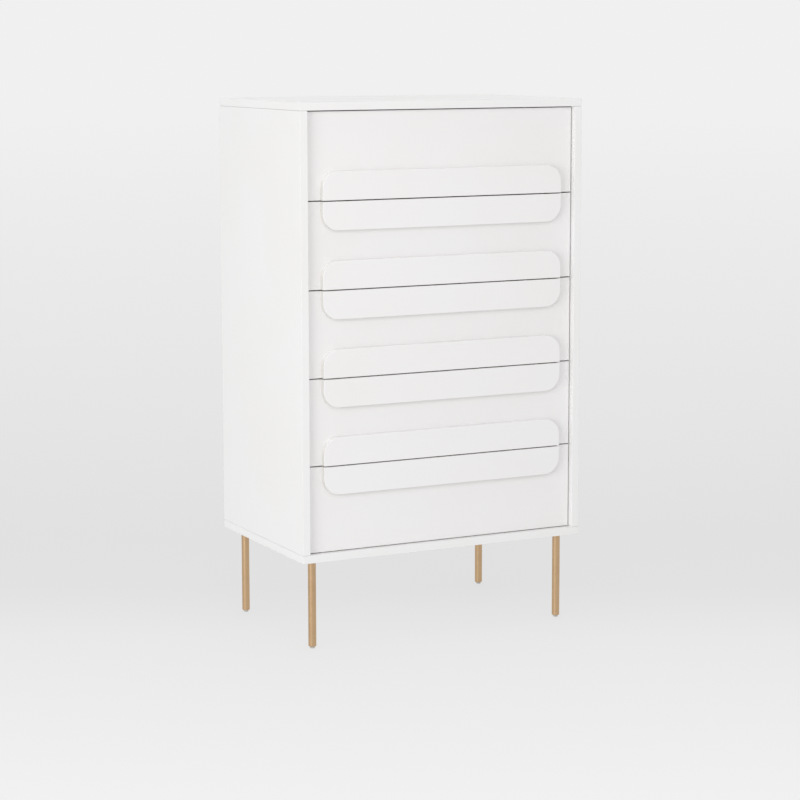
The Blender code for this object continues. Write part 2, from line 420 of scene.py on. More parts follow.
@dataclass(frozen=True)
class Lacquer(Finish):
    """Sprayed satin lacquer: a faint orange peel, softly uneven gloss, and a little wear on eased edges.

    The milled walls get a painted shade, darker and warmer: in full where they face sideways or down, none
    where they look up.
    """

    relief: float = 0.20
    relief_depth: float = 0.12 * MILLIMETRE
    coat: float = 0.08
    coat_roughness: float = 0.38
    primer: Colour = (0.70, 0.67, 0.61)
    # Painted shade for the milled pull walls: darker and warmer than the lacquer
    painted_wall_shade: Colour = (0.730, 0.720, 0.685)
    warmth: Colour = (0.985, 0.982, 0.972)
    peel: Noise = Noise(230.0)
    peel_share: float = 0.75
    grit: Noise = Noise(2600.0)
    grit_gloss: float = 0.10
    cloud: Noise = Noise(3.1, 3.0, 0.4)
    cloud_gloss: float = 0.10
    rub: Noise = Noise(46.0, 5.0, 0.6, 0.56, 0.74)
    wear: float = 0.30
    wear_gloss: float = 0.25
    touch: Noise = Noise(9.0, 4.0, 0.8, 0.50, 0.78)
    touch_gloss: float = 0.025

    def paint(self, tree: Tree) -> Layers:
        """Give the lacquer's colour, roughness and relief.

        Args:
            tree: The material's tree.

        Returns:
            The three, in that order.
        """
        place = tree.place()
        peel, grit, cloud = (noise.on(tree, place) for noise in (self.peel, self.grit, self.cloud))
        worn = self.rub.on(tree, place) * tree.attribute("edge") * self.wear
        warm = tuple(channel * tint for channel, tint in zip(self.colour, self.warmth))
        colour = tree.mix(cloud.ramp(*SOFT_RANGE), self.colour, warm)
        # Painted shade: the milled walls are darkened and warmed by their wall share
        colour = tree.mix(tree.attribute("wall"), colour, self.painted_wall_shade)
        colour = tree.mix(worn, colour, self.primer)
        roughness = self.roughness + cloud.swing(self.cloud_gloss) + grit.swing(self.grit_gloss)
        roughness = roughness - self.touch.on(tree, place) * self.touch_gloss + worn * self.wear_gloss
        return colour, roughness, peel * self.peel_share + grit * (1.0 - self.peel_share)


@dataclass(frozen=True)
class Backing(Finish):
    """Coated hardboard: short pressed fibres under a thin matt coat."""

    relief: float = 0.35
    ior: float = 1.45
    fibre: Colour = (0.60, 0.57, 0.52)
    shade: float = 0.95
    squeeze: float = 0.16
    lengthwise: Noise = Noise(900.0, 3.0, 0.5)
    crosswise: Noise = Noise(760.0, 3.0, 0.5)
    fibre_range: Pair = (0.38, 0.62)
    fibre_gloss: float = 0.30
    cloud: Noise = Noise(4.0, 4.0, 0.0, 0.55, 0.80)
    cloud_share: float = 0.06
    fleck: Noise = Noise(420.0, 2.0, 0.0, 0.66, 0.76)
    fleck_share: float = 0.25
    chips: Noise = Noise(60.0, 4.0, 0.0, 0.40, 0.65)
    chip_share: float = 0.50

    def paint(self, tree: Tree) -> Layers:
        """Give the board's colour, roughness and relief.

        Args:
            tree: The material's tree.

        Returns:
            The three, in that order.
        """
        place = tree.place()
        lengthwise = self.lengthwise.on(tree, tree.stretched(place, (1.0, 1.0, self.squeeze)))
        crosswise = self.crosswise.on(tree, tree.stretched(place, (self.squeeze, 1.0, 1.0)))
        fibres = (lengthwise + crosswise) / 2.0
        spots = self.fleck.on(tree, place) * self.fleck_share + self.cloud.on(tree, place) * self.cloud_share
        spots = spots + self.chips.on(tree, place) * tree.attribute("edge") * self.chip_share
        shade = tuple(channel * self.shade for channel in self.colour)
        colour = tree.mix(fibres.ramp(*self.fibre_range), shade, self.colour)
        return tree.mix(spots, colour, self.fibre), self.roughness + fibres.swing(self.fibre_gloss), fibres


@dataclass(frozen=True)
class Birch(Finish):
    """Clear-coated birch plywood: straight fine grain on the faces, and stacked plies on the edges."""

    relief: float = 0.22
    coat: float = 0.10
    coat_roughness: float = 0.22
    grain: Axis = Axis.Y
    squeeze: float = 0.035
    dark: Colour = (0.50, 0.34, 0.19)
    ruddy: Colour = (0.72, 0.52, 0.31)
    plies: int = 9
    streaks: Noise = Noise(210.0, 4.0, 0.8)
    streak_range: Pair = (0.35, 0.68)
    growth: Noise = Noise(26.0, 2.0, 1.2)
    growth_width: float = 0.4
    growth_length: float = 0.02
    growth_rings: float = 9.0
    pores: Noise = Noise(1500.0, 3.0, 0.3)
    pore_range: Pair = (0.52, 0.66)
    pore_gloss: float = 0.22
    end_pores: Noise = Noise(1900.0, 3.0, 0.0, 0.48, 0.70)
    tone: Noise = Noise(5.0, 2.0, 0.0, *SOFT_RANGE)
    tone_share: float = 0.16
    streak_ring_pore_shares: Triple = (0.31, 0.1364, 0.186)
    ply_glue_pore_shares: Triple = (0.34, 0.42, 0.28)
    pore_streak_ply_relief: Triple = (0.6, 0.2, 0.4)
    glue_range: Pair = (0.80, 1.0)
    edge_gloss: float = 0.14
    rubbed_share: float = 0.10

    def paint(self, tree: Tree) -> Layers:
        """Give the plywood's colour, roughness and relief.

        Args:
            tree: The material's tree.

        Returns:
            The three, in that order.
        """
        place, cut_edge = tree.place(), tree.attribute("cut_edge")
        along = tuple(self.squeeze if axis is self.grain else 1.0 for axis in Axis)
        flow = tree.stretched(place, along)
        pores, streaks = self.pores.on(tree, flow), self.streaks.on(tree, flow)
        slow = tree.stretched(place, tuple(self.growth_width * scale + self.growth_length for scale in along))
        rings = (self.growth.on(tree, slow) * self.growth_rings).bands()
        marks = (streaks.ramp(*self.streak_range), rings, pores.ramp(*self.pore_range))
        figure = weighted(marks, self.streak_ring_pore_shares)

        depth = tree.attribute("ply") * float(self.plies)
        turned = (depth / 2.0).fraction().above(0.5)
        glue = depth.bands().ramp(*self.glue_range)
        plies = weighted((turned, glue, self.end_pores.on(tree, place)), self.ply_glue_pore_shares) * cut_edge

        shade = figure * (1.0 - cut_edge) + plies + tree.attribute("edge") * self.rubbed_share
        colour = tree.mix(shade, self.colour, self.dark)
        colour = tree.mix(self.tone.on(tree, place) * self.tone_share, colour, self.ruddy)
        roughness = self.roughness + pores.swing(self.pore_gloss) + cut_edge * self.edge_gloss
        return colour, roughness, weighted((pores, streaks, plies), self.pore_streak_ply_relief)


@dataclass(frozen=True)
class Metal(Finish):
    """Drawn metal: fine lines along one direction, hazy patches and brighter rubbed edges."""

    relief: float = 0.05
    relief_depth: float = 0.05 * MILLIMETRE
    ior: float = 1.5
    metallic: float = 1.0
    tarnish: Colour = (0.5, 0.5, 0.5)
    brightness: float = 1.18
    rubbed_share: float = 0.35
    lines: Axis = Axis.Z
    squeeze: float = 0.012
    drawn: Noise = Noise(3200.0, 3.0)
    drawn_gloss: float = 0.16
    haze: Noise = Noise(30.0, 4.0, 0.5)
    haze_range: Pair = (0.42, 0.72)
    haze_share: float = 0.35
    haze_gloss: float = 0.10
    marks: Noise = Noise(140.0, 5.0, 1.0, 0.60, 0.78)
    mark_share: float = 0.12
    mark_gloss: float = 0.06
    flake_scale: float = 260.0
    spangle: float = 0.0
    spangle_gloss: float = 0.30

    def paint(self, tree: Tree) -> Layers:
        """Give the metal's colour, roughness and relief.

        Args:
            tree: The material's tree.

        Returns:
            The three, in that order.
        """
        place = tree.place()
        along = tuple(self.squeeze if axis is self.lines else 1.0 for axis in Axis)
        drawn = self.drawn.on(tree, tree.stretched(place, along))
        haze, marks = self.haze.on(tree, place), self.marks.on(tree, place)
        flake = tree.add("ShaderNodeTexVoronoi", {}, {"Vector": place, "Scale": self.flake_scale}, "Color")
        spangle = tree.add("ShaderNodeRGBToBW", {}, {"Color": flake}) * self.spangle
        dull = haze.ramp(*self.haze_range) * self.haze_share + marks * self.mark_share
        bright = tuple(min(1.0, channel * self.brightness) for channel in self.colour)
        colour = tree.mix(dull, self.colour, self.tarnish)
        colour = tree.mix(tree.attribute("edge") * self.rubbed_share + spangle, colour, bright)
        roughness = self.roughness + drawn.swing(self.drawn_gloss) + haze.swing(self.haze_gloss)
        roughness = roughness + marks * self.mark_gloss - spangle * self.spangle_gloss
        return colour, roughness, drawn


@dataclass(frozen=True)
class Plastic(Finish):
    """Moulded plastic: a fine spark-eroded texture, with scuffs where it rubs."""

    relief_depth: float = 0.05 * MILLIMETRE
    ior: float = 1.49
    scuff: Colour = (0.30, 0.30, 0.30)
    squeeze: Triple = (1.0, 0.3, 1.0)
    texture: Noise = Noise(2400.0, 3.0)
    texture_gloss: float = 0.25
    haze: Noise = Noise(120.0, 4.0, 0.0, *SOFT_RANGE)
    haze_share: float = 0.15
    scuffs: Noise = Noise(700.0, 4.0, 1.0, 0.58, 0.74)
    scuff_share: float = 0.25
    scuff_gloss: float = 0.12
    edge_share: float = 0.20

    def paint(self, tree: Tree) -> Layers:
        """Give the plastic's colour, roughness and relief.

        Args:
            tree: The material's tree.

        Returns:
            The three, in that order.
        """
        place = tree.place()
        texture, haze = self.texture.on(tree, place), self.haze.on(tree, place)
        scuffs = self.scuffs.on(tree, tree.stretched(place, self.squeeze))
        colour = tree.mix(haze * self.haze_share + scuffs * self.scuff_share, self.colour, self.scuff)
        colour = tree.mix(tree.attribute("edge") * self.edge_share, colour, self.scuff)
        roughness = self.roughness + texture.swing(self.texture_gloss) + scuffs * self.scuff_gloss
        return colour, roughness, texture


CASE_LACQUER = Lacquer("case_white_lacquer", "case_lacquer", (0.871, 0.868, 0.866), 0.47)
FRONT_LACQUER = Lacquer("front_white_lacquer", "front_lacquer", (0.877, 0.866, 0.867), 0.46)
BACKING = Backing("coated_hardboard", "backing", (0.80, 0.79, 0.76), 0.62)
BIRCH_SIDES = Birch("birch_plywood_lengthwise", "drawer_birch", (0.78, 0.63, 0.44), 0.42)
BIRCH_BACKS = Birch("birch_plywood_crosswise", "drawer_birch", (0.77, 0.62, 0.43), 0.42, grain=Axis.X)
BIRCH_BASES = Birch("birch_plywood_base", "drawer_base", (0.79, 0.65, 0.47), 0.44, grain=Axis.X, plies=5)
STEEL = Metal(
    "zinc_plated_steel", "slide_steel", (0.66, 0.67, 0.69), 0.30,
    relief=0.06, tarnish=(0.50, 0.51, 0.53), lines=Axis.Y, spangle=0.06,
)
BRASS = Metal("satin_brass", "leg_brass", (0.595, 0.41, 0.24), 0.36, tarnish=(0.48, 0.32, 0.18))
GLIDE_PLASTIC = Plastic("glide_plastic_grey", "glide_plastic", (0.55, 0.55, 0.55), 0.45)


# ---------------------------------------------------------------------------------------------------- meshes


def arc(centre: Point, radius: float, start: float, end: float, steps: int) -> list[Point]:
    """Give points along an arc.

    Args:
        centre: The arc's centre.
        radius: Its radius.
        start: The angle of its first point, in degrees.
        end: The angle of its last point, in degrees.
        steps: How many straight parts it has.

    Returns:
        The points, with both ends.
    """
    angles = [math.radians(start + (end - start) * i / steps) for i in range(steps + 1)]
    return [(centre[0] + radius * math.cos(a), centre[1] + radius * math.sin(a)) for a in angles]


def put(name: str, data: bpy.types.ID) -> bpy.types.Object:
    """Put an object in the scene.

    Args:
        name: Its name.
        data: Its mesh, light or camera.

    Returns:
        The object.
    """
    made = bpy.data.objects.new(name, data)
    bpy.context.scene.collection.objects.link(made)
    return made


class Solid:
    """A closed mesh while it is being made."""

    def __init__(self) -> None:
        """Start with nothing."""
        self.shape = bmesh.new()

    def block(self, low: Iterable[float], high: Iterable[float]) -> "Solid":
        """Add a block.

        Args:
            low: Its lowest corner.
            high: Its highest corner.

        Returns:
            This solid.
        """
        low, high = Vector(low), Vector(high)
        place = Matrix.Translation((low + high) / 2) @ Matrix.Diagonal((*(high - low), 1.0))
        bmesh.ops.create_cube(self.shape, size=1.0, matrix=place)
        return self

    def prism(self, outline: list[Point], axis: Axis, start: float, end: float) -> "Solid":
        """Add a flat outline made thick along one direction.

        Args:
            outline: Its points along the two other directions.
            axis: The direction of its thickness.
            start: Where the thickness starts.
            end: Where it ends.

        Returns:
            This solid.
        """
        rings = []
        for level in (start, end):
            ring = []
            for point in outline:
                place = [0.0, 0.0, 0.0]
                place[axis.value] = level
                for index, distance in zip(axis.others, point):
                    place[index] = distance
                ring.append(self.shape.verts.new(place))
            rings.append(ring)
        faces = [self.shape.faces.new(ring) for ring in rings]
        for i, vertex in enumerate(rings[0]):
            before = i - 1
            faces.append(self.shape.faces.new((rings[0][before], vertex, rings[1][i], rings[1][before])))
        bmesh.ops.recalc_face_normals(self.shape, faces=faces)
        return self

    def turned(self, profile: list[Point], steps: int, centre: Iterable[float] = (0.0, 0.0, 0.0)) -> "Solid":
        """Add a shape turned about an upright line.

        Args:
            profile: Its closed profile, as radius and height.
            steps: The facets in a full turn.
            centre: The point on the line that the heights start from.

        Returns:
            This solid.
        """
        centre = Vector(centre)
        turns = [2 * math.pi * i / steps for i in range(steps)]
        rings = []
        for radius, height in profile:
            ring = []
            for turn in turns if radius > 0.0 else turns[:1]:
                place = Vector((radius * math.cos(turn), radius * math.sin(turn), height))
                ring.append(self.shape.verts.new(centre + place))
            rings.append(ring)
        faces = []
        for first, second in zip(rings, rings[1:] + rings[:1]):
            if len(first) == len(second) == 1:
                continue
            for i in range(steps):
                j = (i + 1) % steps
                near = [ring[k % len(ring)] for ring, k in ((first, i), (first, j))]
                far = [ring[k % len(ring)] for ring, k in ((second, j), (second, i))]
                faces.append(self.shape.faces.new(list(dict.fromkeys(near + far))))
        bmesh.ops.recalc_face_normals(self.shape, faces=faces)
        return self

    def ball(self, centre: Iterable[float], radius: float) -> "Solid":
        """Add a ball.

        Args:
            centre: Its centre.
            radius: Its radius.

        Returns:
            This solid.
        """
        place = Matrix.Translation(Vector(centre))
        bmesh.ops.create_icosphere(self.shape, subdivisions=2, radius=radius, matrix=place)
        return self

    def stamp(self, other: "Solid", place: Matrix) -> "Solid":
        """Add a copy of another solid.

        Args:
            other: The solid that is copied.
            place: Where the copy goes.

        Returns:
            This solid.
        """
        mesh = other.mesh("stamp")
        mesh.transform(place)
        self.shape.from_mesh(mesh)
        bpy.data.meshes.remove(mesh)
        return self

    def mesh(self, name: str) -> bpy.types.Mesh:
        """Copy the solid to a new mesh.

        Args:
            name: The mesh's name.

        Returns:
            The mesh.
        """
        made = bpy.data.meshes.new(name)
        self.shape.to_mesh(made)
        return made

    def cut(self, cutter: "Solid") -> "Solid":
        """Cut the solid with another one.

        Args:
            cutter: The solid that is taken away.

        Returns:
            This solid.
        """
        target, tool = put("target", self.mesh("target")), put("tool", cutter.mesh("tool"))
        modifier = target.modifiers.new("cut", "BOOLEAN")
        modifier.operation = "DIFFERENCE"
        modifier.solver = "EXACT"
        modifier.object = tool
        graph = bpy.context.evaluated_depsgraph_get()
        mesh = bpy.data.meshes.new_from_object(target.evaluated_get(graph))
        self.shape.clear()
        self.shape.from_mesh(mesh)
        for used in (target, tool):
            data = used.data
            bpy.data.objects.remove(used)
            bpy.data.meshes.remove(data)
        bpy.data.meshes.remove(mesh)
        bmesh.ops.remove_doubles(self.shape, verts=self.shape.verts, dist=WELD_DISTANCE)
        bmesh.ops.dissolve_limit(
            self.shape, angle_limit=FLAT_ANGLE, verts=self.shape.verts, edges=self.shape.edges
        )
        return self

    def ease(self, width: float, segments: int = 3) -> "Solid":
        """Round the outer edges, and note the round faces for the finish.

        Args:
            width: The width of the rounding.
            segments: How many faces make it.

        Returns:
            This solid.
        """
        layer = self.shape.faces.layers.float.new("edge")
        edges = [
            edge for edge in self.shape.edges
            if edge.is_manifold and edge.is_convex and edge.calc_face_angle() > SMOOTH_ANGLE
        ]
        made = bmesh.ops.bevel(
            self.shape, geom=edges, offset=width, offset_type="OFFSET", segments=segments,
            profile=0.5, affect="EDGES", clamp_overlap=True,
        )
        for face in made["faces"]:
            face[layer] = 1.0
        return self

    def mark_shaded_walls(self, axis: Axis) -> "Solid":
        """Note each face's share of painted shade: one on walls that run along one direction, less as they
        look up, none elsewhere.

        Args:
            axis: The direction.

        Returns:
            This solid.
        """
        wall = self.shape.faces.layers.float.new("wall")
        self.shape.normal_update()
        for face in self.shape.faces:
            if abs(face.normal[axis.value]) < WALL_LIMIT:
                face[wall] = 1.0 - max(0.0, face.normal.z)
        return self

    def plied(self, axis: Axis) -> "Solid":
        """Note how deep each corner lies in a plywood board, and which faces show the plies.

        Args:
            axis: The direction of the board's thickness.

        Returns:
            This solid.
        """
        places = [vertex.co[axis.value] for vertex in self.shape.verts]
        low, high = min(places), max(places)
        depth = self.shape.verts.layers.float.new("ply")
        for vertex in self.shape.verts:
            vertex[depth] = (vertex.co[axis.value] - low) / (high - low)
        cut_edge = self.shape.faces.layers.float.new("cut_edge")
        self.shape.normal_update()
        for face in self.shape.faces:
            face[cut_edge] = float(abs(face.normal[axis.value]) < PLY_LIMIT)
        return self

    def piece(self, name: str, finish: Finish, body: str, *nodes: str) -> bpy.types.Object:
        """Turn the solid into a piece of the chest.

        Args:
            name: The piece's name.
            finish: Its finish.
            body: The body that it moves with.
            *nodes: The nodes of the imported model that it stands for.

        Returns:
            The piece.
        """
        self.shape.normal_update()
        for face in self.shape.faces:
            face.smooth = True
        for edge in self.shape.edges:
            edge.smooth = edge.is_manifold and edge.calc_face_angle(0.0) < SMOOTH_ANGLE
        mesh = self.mesh(name)
        self.shape.free()
        mesh.materials.append(finish.material())
        made = put(name, mesh)
        modifier = made.modifiers.new("weighted_normals", "WEIGHTED_NORMAL")
        modifier.keep_sharp = True
        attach(made, body)
        if nodes:
            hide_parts(*nodes)
        LOG.info("%s: %d faces, rides on %s", name, len(mesh.polygons), body)
        return made


# ------------------------------------------------------------------------------------------------- fasteners


def cross(arm: float, slimness: float = 4.6) -> list[Point]:
    """Give the outline of a cross recess.

    Args:
        arm: How far its arms reach from its middle.
        slimness: That reach over half an arm's width.

    Returns:
        Its points.
    """
    half = arm / slimness
    return [
        (half, half), (half, arm), (-half, arm), (-half, half), (-arm, half), (-arm, -half),
        (-half, -half), (-half, -arm), (half, -arm), (half, -half), (arm, -half), (arm, half),
    ]


@dataclass(frozen=True)
class Screw:
    """A screw's head: a low dome with a cross recess."""

    radius: float
    height: float
    foot: float = 0.96
    rim: float = 0.35
    recess: float = 0.55
    recess_floor: float = 0.45
    sunk: float = 0.0002
    clearance: float = 0.0003
    pocket_edge: float = 0.6
    dome_steps: int = 5
    head_steps: int = 20
    pocket_steps: int = 24
    spin: float = 0.7

    def head(self) -> Solid:
        """Make one head.

        Returns:
            The head, which points along +Z with its seat at the origin.
        """
        rim = self.height * self.rim
        profile = [(0.0, -self.sunk), (self.radius * self.foot, -self.sunk), (self.radius, rim / 2)]
        for step in range(1, self.dome_steps):
            turn = math.radians(90 * step / self.dome_steps)
            profile.append((self.radius * math.cos(turn), rim + (self.height - rim) * math.sin(turn)))
        profile.append((0.0, self.height))
        low, high = self.height * self.recess_floor, self.height + MILLIMETRE
        recess = Solid().prism(cross(self.radius * self.recess), Axis.Z, low, high)
        return Solid().turned(profile, self.head_steps).cut(recess)

    def heads(self, seats: Iterable[Seat]) -> Solid:
        """Set a head on each seat.

        Args:
            seats: Where each head sits, and the way that it points.

        Returns:
            All the heads as one solid.
        """
        return self._copies(self.head(), seats)

    def pockets(self, seats: Iterable[Seat], depth: float) -> Solid:
        """Make the cutters of the pockets that heads are sunk in.

        Args:
            seats: Where each head sits, and the way that it points.
            depth: How deep the seats lie under the surface.

        Returns:
            All the cutters as one solid.
        """
        floor = self.radius + self.clearance
        mouth, over = floor + self.clearance, depth + MILLIMETRE
        profile = [(0.0, -self.sunk), (floor, -self.sunk), (floor, depth * self.pocket_edge)]
        profile += [(mouth, depth), (mouth, over), (0.0, over)]
        return self._copies(Solid().turned(profile, self.pocket_steps), seats)

    def _copies(self, pattern: Solid, seats: Iterable[Seat]) -> Solid:
        """Copy one solid to each seat, each a little further turned, and free it.

        Args:
            pattern: The solid, which points along +Z.
            seats: Where each copy sits, and the way that it points.

        Returns:
            All the copies as one solid.
        """
        made = Solid()
        for number, (place, direction) in enumerate(seats):
            turn = direction.to_track_quat("Z", "Y").to_matrix().to_4x4()
            spin = Matrix.Rotation(self.spin * number, 4, "Z")
            made.stamp(pattern, Matrix.Translation(place) @ turn @ spin)
        pattern.shape.free()
        return made


PAN_SCREW = Screw(radius=0.0036, height=0.0018)
SMALL_SCREW = Screw(radius=0.0030, height=0.0014)
PLATE_SCREW = Screw(radius=0.0039, height=0.0019)


# ------------------------------------------------------------------------------------------------------ case


@dataclass
class Case:
    """The lacquered case: top, bottom and two sides, with the back board in its rebate."""

    edge: float = 0.0007
    back_edge: float = 0.0004
    lap_gap: float = 0.0003
    screw_pitch: float = 0.150
    screw_inset: float = 0.0045
    screw_depth: float = 0.0016

    def build(self) -> None:
        """Build the panels, the back and its screws."""
        back = Box.of("back_panel")
        rebate = back.grown(self.lap_gap)
        rebate.high.y += CUT_OVER
        for node in ("top_panel", "bottom_panel", "left_side_panel", "right_side_panel"):
            panel = Box.of(node)
            board = Solid().block(panel.low, panel.high).cut(Solid().block(rebate.low, rebate.high))
            board.ease(self.edge).piece(f"{node}_finished", CASE_LACQUER, "case", node)
        seats = self.back_screws(back)
        board = Solid().block(back.low, back.high).cut(SMALL_SCREW.pockets(seats, self.screw_depth))
        board.ease(self.back_edge, segments=2).piece("back_panel_finished", BACKING, "case", "back_panel")
        SMALL_SCREW.heads(seats).piece("back_screws", STEEL, "case")

    def back_screws(self, back: Box) -> list[Seat]:
        """Space the screws round the back board.

        Args:
            back: The board's space.

        Returns:
            Each screw's seat and direction.
        """
        outward = Vector((0.0, 1.0, 0.0))
        half = back.size / 2 - Vector((self.screw_inset,) * 3)
        across, upward = (max(2, round(2 * reach / self.screw_pitch)) for reach in (half.x, half.z))
        places = []
        for i in range(across + 1):
            places += [(half.x * (2 * i / across - 1), way * half.z) for way in (-1, 1)]
        for i in range(1, upward):
            places += [(way * half.x, half.z * (2 * i / upward - 1)) for way in (-1, 1)]
        middle = Vector((back.middle.x, back.high.y - self.screw_depth, back.middle.z))
        return [(middle + Vector((x, 0.0, z)), outward) for x, z in places]


# ------------------------------------------------------------------------------------------------------ legs


@dataclass
class Leg:
    """A brass tube with a closed, rounded end, welded to a round screw plate."""

    name: str
    radius: float = 0.0090
    wall: float = 0.0015
    end_radius: float = 0.0022
    end_thickness: float = 0.012
    plate: float = 0.0025
    plate_edge: float = 0.0005
    weld: float = 0.0018
    weld_share: float = 0.4
    stem_hole: float = 0.0028
    steps: int = 64
    screws: int = 3

    def build(self) -> list[Seat]:
        """Build the leg.

        Returns:
            The seat and the direction of each plate screw.
        """
        tube = Box.of(self.name)
        low, high = tube.low.z, tube.high.z
        flange, bore, floor = tube.size.x / 2, self.radius - self.wall, low + self.end_thickness
        rim, under = flange - self.plate_edge, high - self.plate
        profile = [(bore, high)]
        profile += arc((rim, high - self.plate_edge), self.plate_edge, 90, 0, 3)
        profile += arc((rim, under + self.plate_edge), self.plate_edge, 0, -90, 3)
        profile += arc((self.radius + self.weld, under - self.weld), self.weld, 90, 180, 5)
        profile += arc((self.radius - self.end_radius, low + self.end_radius), self.end_radius, 0, -90, 6)
        profile += [(self.stem_hole, low), (self.stem_hole, floor), (bore, floor)]
        centre = Vector((tube.middle.x, tube.middle.y, 0.0))
        leg = Solid().turned(profile, self.steps, centre)
        leg.piece(f"{self.name}_finished", BRASS, "case", self.name)
        ring = (flange + self.radius) / 2 + self.weld_share * self.weld
        turns = [2 * math.pi * number / self.screws for number in range(self.screws)]
        places = [centre + Vector((ring * math.cos(turn), ring * math.sin(turn), under)) for turn in turns]
        return [(place, Vector((0.0, 0.0, -1.0))) for place in places]


@dataclass
class Glide:
    """The moulded glide in a leg's end: a stem and a round foot with a fine groove."""

    name: str
    stem: float = 0.0025
    stem_tip: float = 0.0005
    seat_gap: float = 0.0003
    edge: float = 0.0004
    groove: tuple[Point, ...] = ((0.0, 0.0026), (0.0004, 0.0023), (0.0004, 0.0020), (0.0001, 0.0017))
    foot_radius: float = 0.0011
    foot_inset: float = 0.0003
    steps: int = 48

    def build(self, ceiling: float) -> None:
        """Build the glide.

        Args:
            ceiling: The height of the leg's end, which the foot bears on.
        """
        space = Box.of(self.name)
        foot, top, shoulder = space.size.x / 2, space.high.z, ceiling - self.seat_gap
        profile = [(0.0, top), (self.stem - self.stem_tip, top), (self.stem, top - self.stem_tip)]
        profile += [(self.stem, shoulder)]
        profile += arc((foot - self.edge, shoulder - self.edge), self.edge, 90, 0, 3)
        profile += [(foot - depth, height) for depth, height in self.groove]
        round_foot = (foot - self.foot_inset - self.foot_radius, self.foot_radius)
        profile += arc(round_foot, self.foot_radius, 0, -90, 5)
        profile += [(0.0, 0.0)]
        glide = Solid().turned(profile, self.steps, (space.middle.x, space.middle.y, 0.0))
        glide.piece(f"{self.name}_finished", GLIDE_PLASTIC, "case", self.name)


@dataclass
class Legs:
    """The four legs with their glides and their screws."""

    def build(self) -> None:
        """Build each leg and its glide, and then all the screws as one piece."""
        seats = []
        for row in ("front", "rear"):
            for side in Side:
                corner = f"{row}_{side.word}"
                seats += Leg(f"{corner}_leg").build()
                Glide(f"{corner}_glide").build(Box.of(f"{corner}_leg").low.z)
        PLATE_SCREW.heads(seats).piece("leg_plate_screws", STEEL, "case")


# --------------------------------------------------------------------------------------------------- drawers


@dataclass(frozen=True)
class Pull:
    """The raised pulls, each of which straddles the gap between two fronts."""

    margin: float = 0.0335
    height: float = 0.130
    corner: float = 0.038
    rise: float = 0.014
    steps: int = 18

    def notch(self, half_width: float, middle: float, edge: float) -> list[Point]:
        """Give the outline of the half of a pull that a front carries, from left to right.

        Args:
            half_width: Half the front's width.
            middle: The height of the pull's middle.
            edge: The height that the outline starts and ends at.

        Returns:
            The outline's points, as X and Z.
        """
        way = 1 if edge < middle else -1
        reach = half_width - self.margin
        centre_x, centre_z = reach - self.corner, middle + way * (self.height / 2 - self.corner)
        right = arc((centre_x, centre_z), self.corner, 90 * way, 0, self.steps)
        left = arc((-centre_x, centre_z), self.corner, 180 * way, 90 * way, self.steps)
        return [(-reach, edge), *left, *right, (reach, edge)]


@dataclass
class DrawerFront:
    """One front: a thick board that is milled back around the halves of its pulls."""

    number: int
    pull: Pull = Pull()
    edge: float = 0.0013
    groove_gap: float = 0.0003

    def build(self) -> None:
        """Build the front."""
        node = f"drawer_{self.number}_front"
        space = Box.of(node)
        groove = Box.of(f"drawer_{self.number}_bottom").grown(self.groove_gap)
        face = space.low.y
        relief = Solid().prism(self.relief(space), Axis.Y, face - CUT_OVER, face + self.pull.rise)
        front = Solid().block(space.low, space.high).cut(relief).cut(Solid().block(groove.low, groove.high))
        # The pull walls get their share of painted shade
        front.ease(self.edge, segments=4).mark_shaded_walls(Axis.Y)
        front.piece(f"{node}_finished", FRONT_LACQUER, f"drawer_{self.number}", node)

    def relief(self, space: Box) -> list[Point]:
        """Give the outline that is milled back.

        Args:
            space: The front's space.

        Returns:
            The outline's points, as X and Z.
        """
        half = space.size.x / 2
        low, high = space.low.z - CUT_OVER, space.high.z + CUT_OVER
        outline = [(-half - CUT_OVER, low)]
        if self.number < DRAWERS[-1]:
            below = Box.of(f"drawer_{self.number + 1}_front")
            outline += self.pull.notch(half, (space.low.z + below.high.z) / 2, low)
        outline += [(half + CUT_OVER, low), (half + CUT_OVER, high)]
        if self.number > DRAWERS[0]:
            above = Box.of(f"drawer_{self.number - 1}_front")
            outline += reversed(self.pull.notch(half, (space.high.z + above.low.z) / 2, high))
        outline += [(-half - CUT_OVER, high)]
        return outline


